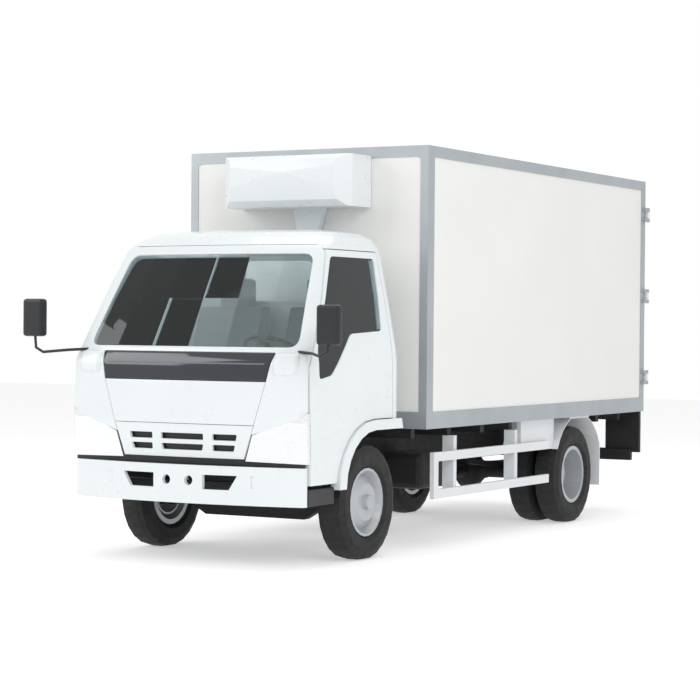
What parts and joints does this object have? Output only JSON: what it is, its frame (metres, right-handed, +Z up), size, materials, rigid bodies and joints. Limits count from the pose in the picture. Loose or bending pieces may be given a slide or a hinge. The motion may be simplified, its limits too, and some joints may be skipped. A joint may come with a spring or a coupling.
{
  "type": "refrigerated truck",
  "caption": "Light cab-over truck with a single cab, an insulated box body and a refrigeration unit on the box's nose above the cab.",
  "frame": {"origin": "middle of the overall length and width, on the ground", "axes": "+Z up, the truck faces -Y, +X is its left (driver's) side"},
  "size_m": [2.465, 5.861, 2.838],
  "materials": {
    "cab_white": "gloss white paint",
    "box_white": "satin white panel",
    "aluminium": "plain extruded",
    "wheel_silver": "silver paint",
    "chassis_black": "satin black paint",
    "rubber": "matte",
    "black_plastic": "grained",
    "black_gloss": "gloss",
    "lamp_lens": "clear lens",
    "glass": "tinted",
    "cast_iron": "bare",
    "guard_white": "satin",
    "interior_grey": "matte",
    "seat_fabric": "woven"
  },
  "bodies": {
    "chassis": {"frame": "chassis_black", "subframe": "chassis_black", "engine_block": "cast_iron", "front_axle": "chassis_black", "rear_axle": "chassis_black", "driveshaft": "chassis_black", "fuel_tank": "chassis_black", "battery_box": "chassis_black", "side_guard_left": "guard_white", "side_guard_right": "guard_white", "rear_fender_left": "guard_white", "rear_fender_right": "guard_white", "front_bumper": "cab_white", "steps": "black_plastic", "rear_underrun": "chassis_black", "box_frame": "aluminium", "box_side_left": "box_white", "box_side_right": "box_white", "box_floor": "box_white", "box_roof": "box_white", "box_front_wall": "box_white", "fridge_unit": "cab_white"},
    "cab": {"cab_front": "cab_white", "cowl_panel": "black_gloss", "front_panel": "cab_white", "headlamp_left": "lamp_lens", "headlamp_right": "lamp_lens", "cab_back": "cab_white", "cab_side_left": "cab_white", "cab_side_right": "cab_white", "cab_roof": "cab_white", "windscreen": "glass", "rear_window": "glass", "cab_floor": "interior_grey", "dashboard": "interior_grey", "seat_driver": "seat_fabric", "seat_passenger": "seat_fabric", "mirror_left": "black_plastic", "mirror_right": "black_plastic"},
    "steering_wheel": {"steering_wheel": "black_plastic"},
    "left_door": {"door_left": "cab_white", "door_glass_left": "glass"},
    "right_door": {"door_right": "cab_white", "door_glass_right": "glass"},
    "left_knuckle": {"knuckle_left": "cast_iron"},
    "right_knuckle": {"knuckle_right": "cast_iron"},
    "front_left_wheel": {"front_rim_left": "wheel_silver", "front_tyre_left": "rubber"},
    "front_right_wheel": {"front_rim_right": "wheel_silver", "front_tyre_right": "rubber"},
    "rear_left_wheels": {"rear_rims_left": "wheel_silver", "rear_tyre_outer_left": "rubber", "rear_tyre_inner_left": "rubber"},
    "rear_right_wheels": {"rear_rims_right": "wheel_silver", "rear_tyre_outer_right": "rubber", "rear_tyre_inner_right": "rubber"},
    "left_cargo_door": {"cargo_door_left": "box_white"},
    "right_cargo_door": {"cargo_door_right": "box_white"}
  },
  "joints": [
    {"name": "cab_tilt", "type": "hinge", "parent": "chassis", "child": "cab", "pos_m": [0, -2.7655, 0.69], "axis": [1, 0, 0], "range_deg": [0, 45]},
    {"name": "steering_wheel_turn", "type": "hinge", "parent": "cab", "child": "steering_wheel", "pos_m": [0.4, -2.3205, 1.4], "axis": [0, 0.4695, 0.8829], "range_deg": [-630, 630]},
    {"name": "left_door_swing", "type": "hinge", "parent": "cab", "child": "left_door", "pos_m": [0.926, -2.7625, 1], "axis": [0, 0, -1], "range_deg": [0, 70]},
    {"name": "right_door_swing", "type": "hinge", "parent": "cab", "child": "right_door", "pos_m": [-0.926, -2.7625, 1], "axis": [0, 0, 1], "range_deg": [0, 70]},
    {"name": "left_steer", "type": "hinge", "parent": "chassis", "child": "left_knuckle", "pos_m": [0.7, -1.8805, 0.386], "axis": [0, 0, 1], "range_deg": [-35, 35]},
    {"name": "right_steer", "type": "hinge", "parent": "chassis", "child": "right_knuckle", "pos_m": [-0.7, -1.8805, 0.386], "axis": [0, 0, 1], "range_deg": [-35, 35]},
    {"name": "front_left_roll", "type": "hinge", "parent": "left_knuckle", "child": "front_left_wheel", "pos_m": [0.79, -1.8805, 0.386], "axis": [1, 0, 0], "continuous": true},
    {"name": "front_right_roll", "type": "hinge", "parent": "right_knuckle", "child": "front_right_wheel", "pos_m": [-0.79, -1.8805, 0.386], "axis": [1, 0, 0], "continuous": true},
    {"name": "rear_left_roll", "type": "hinge", "parent": "chassis", "child": "rear_left_wheels", "pos_m": [0.7275, 1.4795, 0.386], "axis": [1, 0, 0], "continuous": true},
    {"name": "rear_right_roll", "type": "hinge", "parent": "chassis", "child": "rear_right_wheels", "pos_m": [-0.7275, 1.4795, 0.386], "axis": [1, 0, 0], "continuous": true},
    {"name": "left_cargo_swing", "type": "hinge", "parent": "chassis", "child": "left_cargo_door", "pos_m": [1.009, 2.8965, 1.8], "axis": [0, 0, -1], "range_deg": [0, 255]},
    {"name": "right_cargo_swing", "type": "hinge", "parent": "chassis", "child": "right_cargo_door", "pos_m": [-1.009, 2.8965, 1.8], "axis": [0, 0, 1], "range_deg": [0, 255]}
  ],
  "couplings": [
    {"joint": "right_steer", "follows": "left_steer", "ratio": 1},
    {"joint": "steering_wheel_turn", "follows": "left_steer", "ratio": 18}
  ]
}
